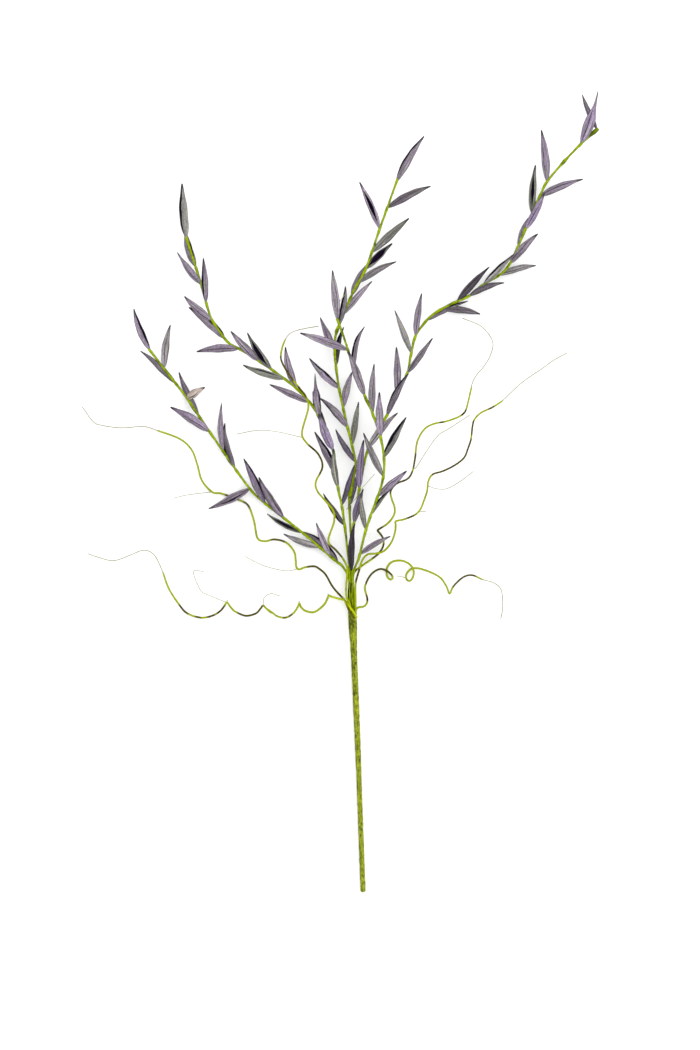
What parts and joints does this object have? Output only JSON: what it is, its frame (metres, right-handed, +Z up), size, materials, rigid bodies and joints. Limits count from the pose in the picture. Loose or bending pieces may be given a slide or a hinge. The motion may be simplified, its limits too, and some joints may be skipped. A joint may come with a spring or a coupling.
{
  "type": "lavender leaf spray",
  "caption": "Cut leafy spray lying flat: narrow lavender-grey cupped leaves on green twigs, gathered in a lime wrapped stem with thin curling tendrils.",
  "frame": {"origin": "on the surface that the spray lies on, under the middle of its box", "axes": "+Y along the stem from the cut end to the tips, +X to the right seen from above, +Z up from the surface"},
  "size_m": [0.585, 0.9028, 0.0689],
  "materials": {
    "lime_wrap": "matte",
    "lavender_leaf": "matte",
    "olive_vine": "matte"
  },
  "bodies": {
    "root": {"main_stem": "lime_wrap", "left_outer_branch": "lavender_leaf", "left_inner_branch": "lavender_leaf", "centre_branch": "lavender_leaf", "right_inner_branch": "lavender_leaf", "right_outer_branch": "lavender_leaf", "lower_left_tendril": "olive_vine", "upper_left_tendril": "olive_vine", "middle_left_tendril": "olive_vine", "lower_right_tendril": "olive_vine", "middle_right_tendril": "olive_vine", "upper_right_tendril": "olive_vine"}
  },
  "joints": []
}
